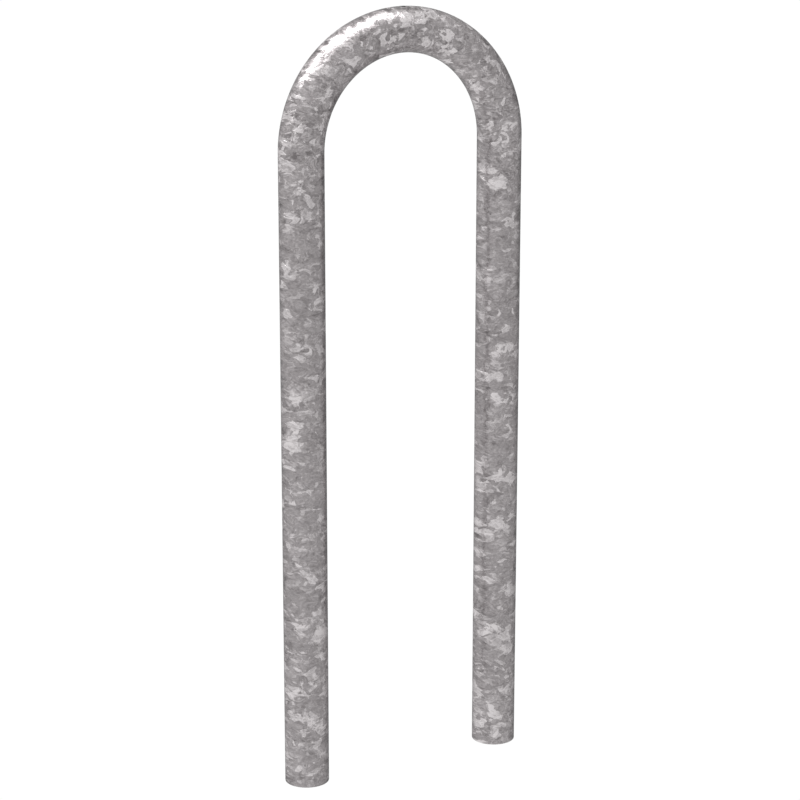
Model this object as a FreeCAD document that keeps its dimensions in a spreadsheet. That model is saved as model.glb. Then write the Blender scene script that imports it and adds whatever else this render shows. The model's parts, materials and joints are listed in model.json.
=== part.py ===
"""Hoop bike rack: one bent length of 2 inch galvanised pipe whose two legs are set in the ground.

Frame: millimetres, +Z up, the hoop lies in the XZ plane, the origin is midway between the two leg ends.
"""
import FreeCAD, Part
import math
import os

import Sketcher

Vector = FreeCAD.Vector
Constraint = Sketcher.Constraint

# Every size that can be set by itself: alias, millimetres (or a count), what it is.
SIZES = [
    ("pipe_od", 60.3, "outside diameter of the pipe, nominal size 2 inch"),
    ("pipe_wall", 3.9, "wall of the pipe, schedule 40"),
    ("bend_radius", 150.75, "centreline radius of the half-circle bend"),
    ("leg_length", 870.0, "straight leg, from its cut end to the start of the bend"),
    ("end_bevel", 0.6, "bevel left by deburring the saw-cut ends"),
    ("vent_diameter", 6.4, "galvaniser's vent hole at the top of the bend"),
    ("plug_gap", 0.1, "radial gap between an end plug and the bore it is driven into"),
    ("plug_recess", 2.0, "how far the plug's mouth lies inside the cut end"),
    ("plug_length", 24.0, "length of the plug along the leg"),
    ("plug_wall", 2.0, "wall and end thickness of the plug's cup"),
    ("rim_height", 3.0, "height of the plug's rim"),
    ("rim_depth", 2.2, "how far the rim stands out from the cup"),
    ("rib_depth", 2.1, "how far the crush ribs stand out from the cup"),
    ("rib_width", 2.0, "width of a crush rib"),
    ("rib_taper", 8.0, "length over which a crush rib slopes away at its leading end"),
    ("rib_count", 8, "number of crush ribs round the cup"),
    ("lead_in", 1.5, "bevel of the plug's leading edge"),
    ("web_wall", 1.6, "thickness of the crossed webs that stiffen the cup"),
    ("web_setback", 6.0, "how far the webs stop short of the cup's mouth"),
]
SIZE_OF = {alias: size for alias, size, meaning in SIZES}
CELLS = {alias: f"<<sizes>>.{alias}" for alias in SIZE_OF}

# Sizes worked out from the ones above.
BORE_RADIUS = "({pipe_od} / 2 - {pipe_wall})"
RIM_RADIUS = f"({BORE_RADIUS} - {{plug_gap}})"
CUP_RADIUS = f"({RIM_RADIUS} - {{rim_depth}})"
HOLLOW_RADIUS = f"({CUP_RADIUS} - {{plug_wall}})"
HOLLOW_DEPTH = "({plug_length} - {plug_wall})"
CROWN_HEIGHT = "({leg_length} + {bend_radius} + {pipe_od} / 2)"
RIB_TOP = "({plug_length} - {lead_in})"


def make_sheet(doc):
    """The spreadsheet that drives every sub-part."""
    sheet = doc.addObject("Spreadsheet::Sheet", "sizes")
    for row, (alias, size, meaning) in enumerate(SIZES, start=1):
        sheet.set(f"A{row}", meaning)
        sheet.set(f"B{row}", str(size))
        sheet.setAlias(f"B{row}", alias)
    doc.recompute()


def tie(thing, prop, formula):
    """Binds a property to a formula in which {alias} stands for a cell of the sheet."""
    thing.setExpression(prop, formula.format(**CELLS))


def new_body(doc, name):
    body = doc.addObject("PartDesign::Body", name)
    body.Label = name
    return body


def origin_feature(body, role):
    """The body's own origin plane or axis, such as XY_Plane or Z_Axis."""
    return next(feature for feature in body.Origin.OriginFeatures if feature.Role == role)


def new_sketch(body, name, plane, height="0"):
    """A sketch on one of the body's origin planes, lifted off it by a height."""
    sketch = body.newObject("Sketcher::SketchObject", name)
    sketch.AttachmentSupport = [(origin_feature(body, plane), "")]
    sketch.MapMode = "FlatFace"
    tie(sketch, "AttachmentOffset.Base.z", height)
    return sketch


def dimension(sketch, name, formula, drawn, kind, *where):
    """A named dimension of a sketch, tied to the sizes; drawn is what it measures before that."""
    index = sketch.addConstraint(Constraint(kind, *where, drawn))
    sketch.renameConstraint(index, name)
    tie(sketch, f"Constraints.{name}", formula)


def place_point(sketch, name, line, point, across, up):
    """Ties a line's start (1), end (2) or centre (3) to a place given by two formulas."""
    drawn = sketch.getPoint(line, point)
    dimension(sketch, f"{name}_across", across, drawn.x, "DistanceX", line, point)
    dimension(sketch, f"{name}_up", up, drawn.y, "DistanceY", line, point)


def add_circle(sketch, name, radius, across="0"):
    """A circle centred on the sketch's X axis."""
    drawn = 1.0
    circle = sketch.addGeometry(Part.Circle(Vector(0, 0, 0), Vector(0, 0, 1), drawn))
    dimension(sketch, f"{name}_radius", radius, drawn, "Radius", circle)
    place_point(sketch, name, circle, 3, across, "0")


def add_outline(sketch, corners):
    """A closed outline of straight lines; each corner is two formulas, across and up."""
    count = len(corners)
    seeds = [Vector(math.cos(math.tau * i / count), math.sin(math.tau * i / count), 0) for i in range(count)]
    for i in range(count):
        sketch.addGeometry(Part.LineSegment(seeds[i], seeds[(i + 1) % count]))
    for i, (across, up) in enumerate(corners):
        sketch.addConstraint(Constraint("Coincident", i, 2, (i + 1) % count, 1))
        place_point(sketch, f"corner_{i}", i, 1, across, up)


def add_solid(doc, body, kind, name, profile, length, **settings):
    """A Pad or Pocket of the given length from a sketch; a Pocket has to take material away."""
    before = body.Shape.Volume if body.Tip else 0.0
    feature = body.newObject(f"PartDesign::{kind}", name)
    feature.Profile = profile
    tie(feature, "Length", length)
    for prop, setting in settings.items():
        setattr(feature, prop, setting)
    doc.recompute()
    grew = body.Shape.Volume > before
    if grew == (kind == "Pocket"):
        raise RuntimeError(f"{name} points the wrong way")
    return feature


def repeat_round(doc, body, name, original, count, angle):
    """Repeats a feature about the body's Z axis, spread over the angle."""
    pattern = body.newObject("PartDesign::PolarPattern", name)
    pattern.Originals = [original]
    pattern.Axis = (origin_feature(body, "Z_Axis"), [""])
    tie(pattern, "Occurrences", count)
    tie(pattern, "Angle", angle)
    body.Tip = pattern
    doc.recompute()


def circular_edges(shape, height):
    """Names of the edges that lie flat at a height."""
    tolerance = 1e-4
    names = []
    for i, edge in enumerate(shape.Edges, start=1):
        box = edge.BoundBox
        if abs(box.ZMin - height) < tolerance and abs(box.ZMax - height) < tolerance:
            names.append(f"Edge{i}")
    return names


def hoop_path(body):
    """Centreline of the pipe: up the left leg, half round the bend and down the right leg."""
    path = new_sketch(body, "hoop_path", "XZ_Plane")
    radius = SIZE_OF["bend_radius"]
    height = SIZE_OF["leg_length"]
    left = path.addGeometry(Part.LineSegment(Vector(-radius, 0, 0), Vector(-radius, height, 0)))
    circle = Part.Circle(Vector(0, height, 0), Vector(0, 0, 1), radius)
    bend = path.addGeometry(Part.ArcOfCircle(circle, 0, math.pi))
    right = path.addGeometry(Part.LineSegment(Vector(radius, height, 0), Vector(radius, 0, 0)))
    path.addConstraint(Constraint("Coincident", left, 2, bend, 2))
    path.addConstraint(Constraint("Coincident", bend, 1, right, 1))
    # The bend's centre is level with the tops of the legs, so each leg meets it at a tangent.
    corners = [
        ("left_foot", left, 1, "-{bend_radius}", "0"),
        ("left_top", left, 2, "-{bend_radius}", "{leg_length}"),
        ("right_top", right, 1, "{bend_radius}", "{leg_length}"),
        ("right_foot", right, 2, "{bend_radius}", "0"),
    ]
    for name, line, point, across, up in corners:
        place_point(path, name, line, point, across, up)
    dimension(path, "bend_centre_up", "{leg_length}", height, "DistanceY", bend, 3)
    return path


def make_hoop_pipe(doc):
    """The pipe itself: bent to a hoop, drilled for the galvaniser and deburred at both cut ends."""
    body = new_body(doc, "hoop_pipe")
    path = hoop_path(body)
    ring = new_sketch(body, "pipe_section", "XY_Plane")
    add_circle(ring, "outside", "{pipe_od} / 2", across="-{bend_radius}")
    add_circle(ring, "bore", BORE_RADIUS, across="-{bend_radius}")
    doc.recompute()

    pipe = body.newObject("PartDesign::AdditivePipe", "bent_pipe")
    pipe.Profile = ring
    pipe.Spine = (path, ["Edge1", "Edge2", "Edge3"])
    pipe.Mode = "Standard"
    doc.recompute()

    vent = new_sketch(body, "vent", "XY_Plane", height=CROWN_HEIGHT)
    add_circle(vent, "vent", "{vent_diameter} / 2")
    hole = add_solid(doc, body, "Pocket", "vent_hole", vent, "{pipe_od} / 2")

    bevel = body.newObject("PartDesign::Chamfer", "end_bevel")
    bevel.Base = (hole, circular_edges(hole.Shape, 0.0))
    tie(bevel, "Size", "{end_bevel}")
    doc.recompute()
    return body


def make_end_plug(doc, name, side):
    """Moulded pipe plug: a cup that opens downwards, with a rim and crush ribs that grip the bore.

    The plug is made about its own Z axis and stands in the leg on that side, -1 left and +1 right.
    """
    body = new_body(doc, name)
    disc = new_sketch(body, "cup_section", "XY_Plane")
    add_circle(disc, "cup", CUP_RADIUS)
    cup = add_solid(doc, body, "Pad", "cup", disc, "{plug_length}")
    nose = body.newObject("PartDesign::Chamfer", "lead_in")
    nose.Base = (cup, circular_edges(cup.Shape, cup.Length.Value))
    tie(nose, "Size", "{lead_in}")
    doc.recompute()

    rim_disc = new_sketch(body, "rim_section", "XY_Plane")
    add_circle(rim_disc, "rim", RIM_RADIUS)
    add_solid(doc, body, "Pad", "rim", rim_disc, "{rim_height}")

    # A crush rib runs up the cup from the rim and slopes away where it is driven in.
    within_wall = f"({CUP_RADIUS} - {{plug_wall}} / 2)"
    rib_side = new_sketch(body, "rib_side", "XZ_Plane")
    rib_corners = [
        (within_wall, "{rim_height}"),
        (f"{CUP_RADIUS} + {{rib_depth}}", "{rim_height}"),
        (f"{CUP_RADIUS} + {{rib_depth}}", f"{RIB_TOP} - {{rib_taper}}"),
        (CUP_RADIUS, RIB_TOP),
        (within_wall, RIB_TOP),
    ]
    add_outline(rib_side, rib_corners)
    rib = add_solid(doc, body, "Pad", "rib", rib_side, "{rib_width}", SideType="Symmetric")
    repeat_round(doc, body, "ribs", rib, "{rib_count}", "360")

    hollow_disc = new_sketch(body, "hollow_section", "XY_Plane")
    add_circle(hollow_disc, "hollow", HOLLOW_RADIUS)
    add_solid(doc, body, "Pocket", "hollow", hollow_disc, HOLLOW_DEPTH, Reversed=True)

    web_strip = new_sketch(body, "web_section", "XY_Plane", height="{web_setback}")
    half = "{web_wall} / 2"
    web_corners = [
        (f"-{within_wall}", f"-{half}"),
        (within_wall, f"-{half}"),
        (within_wall, half),
        (f"-{within_wall}", half),
    ]
    add_outline(web_strip, web_corners)
    web_height = f"{HOLLOW_DEPTH} - {{web_setback}} + {{plug_wall}} / 2"
    web = add_solid(doc, body, "Pad", "web", web_strip, web_height)
    repeat_round(doc, body, "webs", web, "2", "90")

    tie(body, "Placement.Base.x", f"{side} * {{bend_radius}}")
    tie(body, "Placement.Base.z", "{plug_recess}")
    doc.recompute()
    return body


def check(doc, bodies):
    """Stops if any feature failed or a sub-part isn't one valid solid."""
    for thing in doc.Objects:
        if "Invalid" in thing.State or "Error" in thing.State:
            raise RuntimeError(f"{thing.Label} failed: {thing.State}")
        if thing.isDerivedFrom("Sketcher::SketchObject") and not thing.FullyConstrained:
            raise RuntimeError(f"{thing.Label} isn't fully constrained")
    for body in bodies:
        shape = body.Shape
        if shape.isNull() or not shape.isValid() or len(shape.Solids) != 1:
            raise RuntimeError(f"{body.Label} isn't one valid solid")


def main():
    doc = FreeCAD.newDocument("hoop_bike_rack")
    make_sheet(doc)
    bodies = [make_hoop_pipe(doc)]
    for name, side in (("left_end_plug", -1), ("right_end_plug", 1)):
        bodies.append(make_end_plug(doc, name, side))
    doc.recompute()
    check(doc, bodies)
    os.makedirs("parts", exist_ok=True)
    for body in bodies:
        body.Shape.exportStep(f"parts/{body.Label}.step")
        print(body.Label, round(body.Shape.Volume, 2), body.Shape.BoundBox)


main()
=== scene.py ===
import json
import math

import bmesh
import bpy
from mathutils import Matrix, Vector


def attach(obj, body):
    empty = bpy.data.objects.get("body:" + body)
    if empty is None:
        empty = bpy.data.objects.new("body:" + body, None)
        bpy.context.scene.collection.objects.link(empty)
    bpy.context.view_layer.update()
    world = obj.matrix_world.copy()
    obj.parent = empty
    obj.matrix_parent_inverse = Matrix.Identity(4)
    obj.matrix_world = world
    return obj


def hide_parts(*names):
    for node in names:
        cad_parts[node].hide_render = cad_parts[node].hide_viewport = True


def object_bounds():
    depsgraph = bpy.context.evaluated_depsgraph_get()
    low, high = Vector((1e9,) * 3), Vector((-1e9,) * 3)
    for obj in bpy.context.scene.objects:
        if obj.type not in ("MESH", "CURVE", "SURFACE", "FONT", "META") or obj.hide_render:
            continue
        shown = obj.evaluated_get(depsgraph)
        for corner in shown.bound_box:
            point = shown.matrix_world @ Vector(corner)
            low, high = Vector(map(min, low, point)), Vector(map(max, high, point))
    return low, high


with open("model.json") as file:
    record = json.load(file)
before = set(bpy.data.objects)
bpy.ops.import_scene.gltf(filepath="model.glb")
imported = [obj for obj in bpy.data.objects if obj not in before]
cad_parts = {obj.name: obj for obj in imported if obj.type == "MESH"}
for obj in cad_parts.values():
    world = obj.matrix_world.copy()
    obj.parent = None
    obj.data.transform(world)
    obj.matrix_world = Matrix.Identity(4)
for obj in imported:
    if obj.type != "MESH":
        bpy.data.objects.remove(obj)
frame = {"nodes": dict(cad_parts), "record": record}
cad_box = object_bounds()

MM = 0.001

# The pipe's sizes. Those that the frame knows come from it.
LEG_MOUNT = next(mount for mount in frame["record"]["mounts"] if mount["name"] == "right_leg")
PIPE_RADIUS = LEG_MOUNT["dims"]["r_mm"] * MM
BEND_RADIUS = LEG_MOUNT["pos_m"][0]
CROWN_HEIGHT = cad_box[1][2]
LEG_LENGTH = CROWN_HEIGHT - BEND_RADIUS - PIPE_RADIUS
PIPE_WALL = 3.9 * MM
END_BEVEL = 0.6 * MM
VENT_RADIUS = 3.2 * MM

# How finely the pipe is divided.
SIDES = 96
LEG_STEPS = 48
BEND_STEPS = 80
BEVEL_STEPS = 3
VENT_SIDES = 48


def linear(hex_colour):
    """A hex sRGB colour as linear red, green, blue and alpha."""
    parts = [int(hex_colour[i : i + 2], 16) / 255 for i in (1, 3, 5)]
    return [c / 12.92 if c <= 0.04045 else ((c + 0.055) / 1.055) ** 2.4 for c in parts] + [1.0]


def add_node(tree, kind, settings=None, inputs=None):
    """Adds a node with its settings; an input is a value or the output that feeds it."""
    node = tree.nodes.new(kind)
    for name, value in (settings or {}).items():
        setattr(node, name, value)
    for name, value in (inputs or {}).items():
        if isinstance(value, bpy.types.NodeSocket):
            tree.links.new(value, node.inputs[name])
        else:
            node.inputs[name].default_value = value
    return node


def new_material(name):
    """An empty node material, its tree and its output node."""
    material = bpy.data.materials.new(name)
    material.use_nodes = True
    material.node_tree.nodes.clear()
    output = add_node(material.node_tree, "ShaderNodeOutputMaterial")
    return material, material.node_tree, output


def stir(tree, place, size, reach, detail):
    """Moves a pattern's places about, so that its shapes bend and their edges turn ragged."""
    swirl = add_node(
        tree, "ShaderNodeTexNoise", inputs={"Vector": place, "Scale": 1 / size, "Detail": detail}
    ).outputs["Color"]
    centred = add_node(
        tree, "ShaderNodeVectorMath", {"operation": "SUBTRACT"}, {0: swirl, 1: (0.5, 0.5, 0.5)}
    ).outputs[0]
    return add_node(
        tree,
        "ShaderNodeVectorMath",
        {"operation": "MULTIPLY_ADD"},
        {0: centred, 1: (2 * reach,) * 3, 2: place},
    ).outputs[0]


def lay_over(tree, tone, pattern, strength):
    """Lays a pattern over the tone, which grows by strength where the pattern is 1."""
    return add_node(
        tree, "ShaderNodeMath", {"operation": "MULTIPLY_ADD"}, {0: pattern, 1: strength, 2: tone}
    ).outputs[0]


def galvanised_zinc():
    """Hot-dip galvanised steel: zinc that froze on the pipe as it left the bath, in crystals called spangle.

    A satin mid-grey metal. Crystals that froze face-on show as light flakes with pointed, ragged edges, some
    bright and some faint, edge-on ones as dark flecks, and the rest as a cloudy mottle with fine growth
    lines. Round the sides the flakes are drawn out along Y, as in the photo. Each crystal is tilted a
    little, so a highlight has a ragged edge. Round the vent hole the colour turns nearly black: partly a
    dross stain, partly painted shade of the hole.
    """
    narrow_across = 0.72
    drawn_out_along_y = 0.38
    material, tree, output = new_material("galvanised_zinc")
    place = add_node(tree, "ShaderNodeTexCoord").outputs["Object"]
    drawn_out = add_node(
        tree,
        "ShaderNodeMapping",
        inputs={"Vector": place, "Scale": (narrow_across, drawn_out_along_y, 1.0)},
    ).outputs["Vector"]
    bent = stir(tree, drawn_out, size=16 * MM, reach=8 * MM, detail=1.0)
    ragged = stir(tree, bent, size=2.6 * MM, reach=0.9 * MM, detail=2.0)

    # Mottle: the tone, from 0 dark to 1 light, starts from its average before the flakes.
    tone = 0.42
    mottles = [
        # places, size, octaves, roughness, strength
        (drawn_out, 24 * MM, 2.0, 0.5, 0.24),
        (ragged, 6 * MM, 5.0, 0.75, 0.46),
        (drawn_out, 2.2 * MM, 4.0, 0.8, 0.80),
    ]
    for places, size, octaves, roughness, strength in mottles:
        cloud = add_node(
            tree,
            "ShaderNodeTexNoise",
            inputs={"Vector": places, "Scale": 1 / size, "Detail": octaves, "Roughness": roughness},
        ).outputs["Fac"]
        middle = add_node(tree, "ShaderNodeMath", {"operation": "SUBTRACT"}, {0: cloud, 1: 0.5}).outputs[0]
        tone = lay_over(tree, tone, middle, strength)

    # Crystals of three sizes. A share of each size are light flakes and a share dark flecks, half of
    # them faint. Veins run through both.
    veins = add_node(
        tree,
        "ShaderNodeTexNoise",
        inputs={"Vector": ragged, "Scale": 1 / (2.5 * MM), "Detail": 3.0, "Roughness": 0.7},
    ).outputs["Fac"]
    veined = add_node(
        tree, "ShaderNodeMapRange", {"clamp": False}, {"Value": veins, "To Min": -0.05, "To Max": 1.75}
    ).outputs["Result"]
    crystals = [
        # size, spikiness (1 is a diamond, less is a star), light share, lightness, dark share, darkness
        (12.5 * MM, 0.7, 0.15, 0.48, 0.00, 0.00),
        (7.5 * MM, 0.75, 0.15, 0.40, 0.20, 0.16),
        (4.2 * MM, 0.8, 0.20, 0.22, 0.25, 0.13),
    ]
    facets = []
    for size, spikiness, light_share, lightness, dark_share, darkness in crystals:
        cells = add_node(
            tree,
            "ShaderNodeTexVoronoi",
            {"distance": "MINKOWSKI"},
            {"Vector": ragged, "Scale": 1 / size, "Exponent": spikiness},
        ).outputs["Color"]
        facets.append(cells)
        luck = add_node(tree, "ShaderNodeSeparateColor", inputs={"Color": cells}).outputs
        for draw, share, strength in (("Red", light_share, lightness), ("Green", dark_share, -darkness)):
            if share == 0:
                continue
            chosen = add_node(
                tree,
                "ShaderNodeMapRange",
                inputs={"Value": luck[draw], "From Min": 1 - share, "From Max": 1 - share / 2},
            ).outputs["Result"]
            flake = add_node(
                tree, "ShaderNodeMath", {"operation": "MULTIPLY"}, {0: chosen, 1: veined}
            ).outputs[0]
            tone = lay_over(tree, tone, flake, strength)

    # Growth lines: fine wavy bands, about 4 mm from one to the next, clear on some of the largest crystals.
    line_phase = 60.0
    line_strength = 0.12
    swell = add_node(
        tree, "ShaderNodeTexNoise", inputs={"Vector": bent, "Scale": 1 / (14 * MM), "Detail": 2.0}
    ).outputs["Fac"]
    phase = add_node(tree, "ShaderNodeMath", {"operation": "MULTIPLY"}, {0: swell, 1: line_phase}).outputs[0]
    bands = add_node(tree, "ShaderNodeMath", {"operation": "SINE"}, {0: phase}).outputs[0]
    large_luck = add_node(tree, "ShaderNodeSeparateColor", inputs={"Color": facets[0]}).outputs["Blue"]
    lines = add_node(tree, "ShaderNodeMath", {"operation": "MULTIPLY"}, {0: bands, 1: large_luck}).outputs[0]
    tone = lay_over(tree, tone, lines, line_strength)

    # The spangle is a third bolder on the bend than on the legs: its tones stand further from their mean.
    mean_tone = 0.46
    grows_from = LEG_LENGTH - 80 * MM
    height = add_node(tree, "ShaderNodeSeparateXYZ", inputs={"Vector": place}).outputs["Z"]
    bolder = add_node(
        tree,
        "ShaderNodeMapRange",
        inputs={"Value": height, "From Min": grows_from, "From Max": LEG_LENGTH, "To Max": 0.34},
    ).outputs["Result"]
    from_mean = add_node(
        tree, "ShaderNodeMath", {"operation": "SUBTRACT"}, {0: tone, 1: mean_tone}
    ).outputs[0]
    tone = lay_over(tree, tone, from_mean, bolder)

    ramp = add_node(tree, "ShaderNodeValToRGB", inputs={"Fac": tone})
    stops = ((0.0, "#827d7e"), (0.44, "#b4afb0"), (1.0, "#f4eff0"))
    ramp.color_ramp.elements.remove(ramp.color_ramp.elements[1])
    for i, (position, hex_colour) in enumerate(stops):
        element = ramp.color_ramp.elements[0] if i == 0 else ramp.color_ramp.elements.new(position)
        element.position = position
        element.color = linear(hex_colour)

    # Dross and painted shade, nearly black, round the vent hole: the hole's shade is painted into the colour
    # at its mouth, and dross has run from it a little way down the pipe's sides.
    dross_and_shade_ends = 3.2 * MM
    dross_and_shade_full = 1.9 * MM
    smeared = stir(tree, drawn_out, size=2.6 * MM, reach=0.5 * MM, detail=2.0)
    from_vent = add_node(
        tree, "ShaderNodeVectorMath", {"operation": "DISTANCE"}, {0: smeared, 1: (0.0, 0.0, CROWN_HEIGHT)}
    ).outputs["Value"]
    dross_and_painted_shade = add_node(
        tree,
        "ShaderNodeMapRange",
        {"interpolation_type": "SMOOTHSTEP"},
        {"Value": from_vent, "From Min": dross_and_shade_ends, "From Max": dross_and_shade_full},
    ).outputs["Result"]
    # Painted shade: the zinc colour is mixed to near-black at the vent hole's mouth, partly as a dross
    # stain.
    colour = add_node(
        tree,
        "ShaderNodeMix",
        {"data_type": "RGBA"},
        {"Factor": dross_and_painted_shade, 6: ramp.outputs["Color"], 7: linear("#2a2827")},
    ).outputs[2]

    # Relief: the flakes stand a few hundredths of a millimetre proud, and each crystal has its own tilt.
    leans = (0.15, 0.13, 0.12)
    normal = add_node(
        tree, "ShaderNodeBump", inputs={"Strength": 1.0, "Distance": 0.15 * MM, "Height": tone}
    ).outputs["Normal"]
    for facet, lean in zip(facets, leans):
        centred = add_node(
            tree, "ShaderNodeVectorMath", {"operation": "SUBTRACT"}, {0: facet, 1: (0.5, 0.5, 0.5)}
        ).outputs[0]
        normal = add_node(
            tree,
            "ShaderNodeVectorMath",
            {"operation": "MULTIPLY_ADD"},
            {0: centred, 1: (lean,) * 3, 2: normal},
        ).outputs[0]
    normal = add_node(tree, "ShaderNodeVectorMath", {"operation": "NORMALIZE"}, {0: normal}).outputs[0]
    roughness = add_node(
        tree, "ShaderNodeMapRange", inputs={"Value": large_luck, "To Min": 0.25, "To Max": 0.37}
    ).outputs["Result"]
    zinc = add_node(
        tree,
        "ShaderNodeBsdfPrincipled",
        inputs={
            "Base Color": colour,
            "Metallic": 1.0,
            "Roughness": roughness,
            "Specular Tint": linear("#cccccc"),
            "Normal": normal,
        },
    )
    tree.links.new(zinc.outputs["BSDF"], output.inputs["Surface"])
    return material


def moulded_polyethylene():
    """Black polyethylene of the end plugs, injection moulded: dull, faintly grained."""
    material, tree, output = new_material("moulded_polyethylene")
    place = add_node(tree, "ShaderNodeTexCoord").outputs["Object"]
    grain = add_node(
        tree, "ShaderNodeTexNoise", inputs={"Vector": place, "Scale": 1 / (0.8 * MM), "Detail": 3.0}
    ).outputs["Fac"]
    bump = add_node(
        tree, "ShaderNodeBump", inputs={"Strength": 0.3, "Distance": 0.1 * MM, "Height": grain}
    ).outputs["Normal"]
    colour = add_node(
        tree,
        "ShaderNodeMix",
        {"data_type": "RGBA"},
        {"Factor": grain, 6: linear("#161616"), 7: linear("#222222")},
    ).outputs[2]
    plastic = add_node(
        tree,
        "ShaderNodeBsdfPrincipled",
        inputs={"Base Color": colour, "Roughness": 0.55, "IOR": 1.51, "Normal": bump},
    )
    tree.links.new(plastic.outputs["BSDF"], output.inputs["Surface"])
    return material


def start_piece(name, add_primitive, **where):
    """Adds a primitive at its size and place as a new piece, with nothing else selected."""
    bpy.ops.object.select_all(action="DESELECT")
    add_primitive(**where)
    piece = bpy.context.object
    piece.name = name
    piece.data.name = name
    bpy.ops.object.transform_apply(location=True, rotation=True, scale=True)
    return piece


def select_edges(piece, wanted):
    """In edit mode, selects the edges for which wanted(edge) holds, and nothing else."""
    bpy.ops.mesh.select_all(action="DESELECT")
    bpy.ops.mesh.select_mode(type="EDGE")
    mesh = bmesh.from_edit_mesh(piece.data)
    for edge in mesh.edges:
        edge.select_set(wanted(edge))
    mesh.select_flush_mode()
    bmesh.update_edit_mesh(piece.data)


def rounds_cut_end(edge):
    """Whether an edge runs round a cut end, at its outer or inner rim, and not across the wall."""
    level = all(abs(vertex.co.z) < 0.01 * MM for vertex in edge.verts)
    axis_x = math.copysign(BEND_RADIUS, edge.verts[0].co.x)
    reach = [math.hypot(vertex.co.x - axis_x, vertex.co.y) for vertex in edge.verts]
    return level and abs(reach[0] - reach[1]) <= 0.5 * PIPE_WALL


def model_hoop():
    """The bent pipe: up the left leg, half round the bend and down the right leg, then given its wall."""
    hoop = start_piece(
        "galvanised_hoop",
        bpy.ops.mesh.primitive_circle_add,
        vertices=SIDES,
        radius=PIPE_RADIUS,
        fill_type="NOTHING",
        location=(-BEND_RADIUS, 0.0, 0.0),
    )
    step = LEG_LENGTH / LEG_STEPS
    bpy.ops.object.mode_set(mode="EDIT")
    bpy.ops.mesh.select_all(action="SELECT")
    for _ in range(LEG_STEPS):
        bpy.ops.mesh.extrude_region_move(TRANSFORM_OT_translate={"value": (0.0, 0.0, step)})
    bpy.ops.mesh.spin(steps=BEND_STEPS, angle=-math.pi, center=(0.0, 0.0, LEG_LENGTH), axis=(0.0, 1.0, 0.0))
    for _ in range(LEG_STEPS):
        bpy.ops.mesh.extrude_region_move(TRANSFORM_OT_translate={"value": (0.0, 0.0, -step)})
    bpy.ops.mesh.select_all(action="SELECT")
    bpy.ops.mesh.remove_doubles(threshold=0.001 * MM)
    bpy.ops.mesh.normals_make_consistent(inside=False)
    bpy.ops.object.mode_set(mode="OBJECT")

    wall = hoop.modifiers.new("wall", "SOLIDIFY")
    wall.thickness = PIPE_WALL
    wall.offset = -1.0
    bpy.ops.object.modifier_apply(modifier="wall")

    # The saw-cut ends, deburred inside and out.
    bpy.ops.object.mode_set(mode="EDIT")
    select_edges(hoop, rounds_cut_end)
    bpy.ops.mesh.bevel(offset=END_BEVEL, segments=BEVEL_STEPS, affect="EDGES")
    bpy.ops.object.mode_set(mode="OBJECT")
    drill_vent(hoop)
    return hoop


def drill_vent(hoop):
    """The galvaniser's vent hole, drilled down through the top of the crown."""
    drill = start_piece(
        "vent_drill",
        bpy.ops.mesh.primitive_cylinder_add,
        vertices=VENT_SIDES,
        radius=VENT_RADIUS,
        depth=PIPE_RADIUS,
        location=(0.0, 0.0, CROWN_HEIGHT),
    )
    bpy.context.view_layer.objects.active = hoop
    hole = hoop.modifiers.new("vent", "BOOLEAN")
    hole.operation = "DIFFERENCE"
    hole.object = drill
    bpy.ops.object.modifier_apply(modifier="vent")
    bpy.data.objects.remove(drill)


def finish_piece(piece, material, body, slot, *nodes):
    """Smooth shading, its finish, the body it rides on and the CAD nodes it stands for."""
    bpy.ops.object.select_all(action="DESELECT")
    piece.select_set(True)
    bpy.context.view_layer.objects.active = piece
    bpy.ops.object.shade_smooth_by_angle(angle=math.radians(30))
    piece.data.materials.clear()
    piece.data.materials.append(material)
    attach(piece, body)
    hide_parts(*nodes)


def dress(name, material):
    """Gives a CAD node its finish."""
    mesh = frame["nodes"][name].data
    mesh.materials.clear()
    mesh.materials.append(material)
    for polygon in mesh.polygons:
        polygon.material_index = 0


def make_camera():
    """The photograph's viewing angle: a long lens, a little above, from the front left."""
    pitch, roll, turn = 74.867, -0.024, -30.018
    data = bpy.data.cameras.new("photo_camera")
    data.lens = 114.40
    data.sensor_width = 36.0
    data.clip_end = 200.0
    camera = bpy.data.objects.new("photo_camera", data)
    camera.location = (-1.6643, -2.8740, 1.4188)
    camera.rotation_euler = (math.radians(pitch), math.radians(roll), math.radians(turn))
    bpy.context.collection.objects.link(camera)
    bpy.context.scene.camera = camera


def make_floor():
    """A plain white floor that runs out of sight, lit from below as a light table is, so without shadows."""
    just_over_white = 1.02
    floor = start_piece("studio_floor", bpy.ops.mesh.primitive_plane_add, size=80.0)
    material, tree, output = new_material("lit_white_floor")
    glow = add_node(
        tree, "ShaderNodeEmission", inputs={"Color": linear("#ffffff"), "Strength": just_over_white}
    )
    tree.links.new(glow.outputs["Emission"], output.inputs["Surface"])
    floor.data.materials.append(material)
    floor.visible_glossy = False


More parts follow.
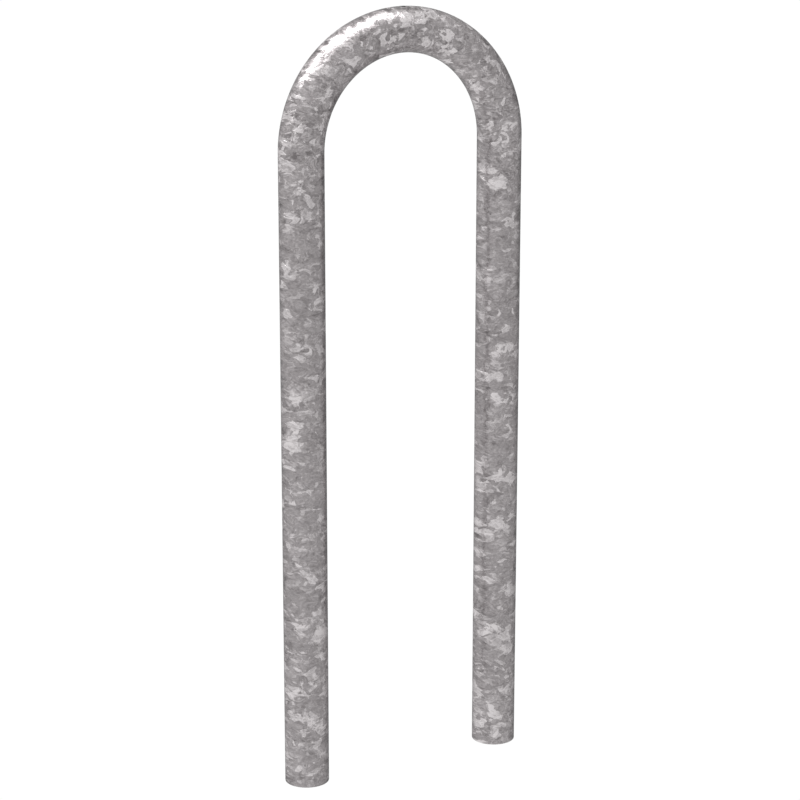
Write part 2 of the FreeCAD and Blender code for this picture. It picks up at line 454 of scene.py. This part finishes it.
def make_world():
    """White in plain view, and in reflections a studio that is dimmer behind to the right."""
    open_brightness = 0.70
    brighter_toward = (-0.08, 0.02, 0.09)
    dark_end = (0.80, 0.60, 0.0)
    band_below_horizon = 0.13
    band_loss = -0.46
    paper_gain = 1.3
    world = bpy.data.worlds.new("white_studio")
    bpy.context.scene.world = world
    world.use_nodes = True
    tree = world.node_tree
    tree.nodes.clear()
    direction = add_node(tree, "ShaderNodeTexCoord").outputs["Generated"]
    # A little brighter to the left and above.
    slope = add_node(
        tree, "ShaderNodeVectorMath", {"operation": "DOT_PRODUCT"}, {0: direction, 1: brighter_toward}
    ).outputs["Value"]
    open_studio = add_node(
        tree, "ShaderNodeMath", {"operation": "ADD"}, {0: slope, 1: open_brightness}
    ).outputs[0]
    # The unlit end of the studio: a dark band just below the horizon, behind to the right.
    nearness = add_node(
        tree, "ShaderNodeVectorMath", {"operation": "DOT_PRODUCT"}, {0: direction, 1: dark_end}
    ).outputs["Value"]
    height = add_node(tree, "ShaderNodeSeparateXYZ", inputs={"Vector": direction}).outputs["Z"]
    above_band = add_node(
        tree, "ShaderNodeMath", {"operation": "ADD"}, {0: height, 1: band_below_horizon}
    ).outputs[0]
    off_band = add_node(tree, "ShaderNodeMath", {"operation": "ABSOLUTE"}, {0: above_band}).outputs[0]
    along = add_node(
        tree,
        "ShaderNodeMapRange",
        {"interpolation_type": "SMOOTHSTEP"},
        {"Value": nearness, "From Min": 0.55, "From Max": 0.98},
    ).outputs["Result"]
    loss = add_node(
        tree,
        "ShaderNodeMapRange",
        {"interpolation_type": "SMOOTHSTEP"},
        {"Value": off_band, "From Min": 0.5, "From Max": 0.1, "To Min": 0.0, "To Max": band_loss},
    ).outputs["Result"]
    shade = lay_over(tree, 1.0, along, loss)
    mirrored = add_node(
        tree, "ShaderNodeMath", {"operation": "MULTIPLY"}, {0: open_studio, 1: shade}
    ).outputs[0]
    # The white paper that the hoop stands on, where the metal mirrors it.
    paper_below = add_node(
        tree,
        "ShaderNodeMapRange",
        {"interpolation_type": "SMOOTHSTEP"},
        {"Value": height, "From Min": -0.45, "From Max": -0.85, "To Min": 1.0, "To Max": paper_gain},
    ).outputs["Result"]
    mirrored = add_node(
        tree, "ShaderNodeMath", {"operation": "MULTIPLY"}, {0: mirrored, 1: paper_below}
    ).outputs[0]
    # Only reflections see that studio. The camera and all else see plain white.
    ray = add_node(tree, "ShaderNodeLightPath").outputs
    strength = add_node(
        tree, "ShaderNodeMix", {"data_type": "FLOAT"}, {"Factor": ray["Is Glossy Ray"], 2: 1.0, 3: mirrored}
    ).outputs[0]
    white = add_node(
        tree, "ShaderNodeBackground", inputs={"Color": linear("#ffffff"), "Strength": strength}
    )
    output = add_node(tree, "ShaderNodeOutputWorld")
    tree.links.new(white.outputs["Background"], output.inputs["Surface"])


def make_softbox():
    """A long softbox from over the crown to the left and behind, the arch's white highlight."""
    azimuth = math.radians(-58.0)
    elevation = math.radians(73.0)
    distance = 2.0
    crown = Vector((0.0, 0.0, CROWN_HEIGHT))
    toward = Vector(
        (
            math.sin(azimuth) * math.cos(elevation),
            math.cos(azimuth) * math.cos(elevation),
            math.sin(elevation),
        )
    )
    data = bpy.data.lights.new("softbox", "AREA")
    data.shape = "RECTANGLE"
    data.size = 0.85
    data.size_y = 2.7
    data.energy = 44.5
    light = bpy.data.objects.new("softbox", data)
    look = (-toward).to_track_quat("-Z", "Y")
    light.matrix_world = Matrix.Translation(crown + toward * distance) @ look.to_matrix().to_4x4()
    bpy.context.collection.objects.link(light)


make_camera()
make_floor()
make_world()
make_softbox()

zinc = galvanised_zinc()
finish_piece(model_hoop(), zinc, "root", "galvanised_steel", "hoop_pipe")
plug_plastic = moulded_polyethylene()
dress("left_end_plug", plug_plastic)
dress("right_end_plug", plug_plastic)

bpy.context.scene.view_settings.view_transform = "Standard"
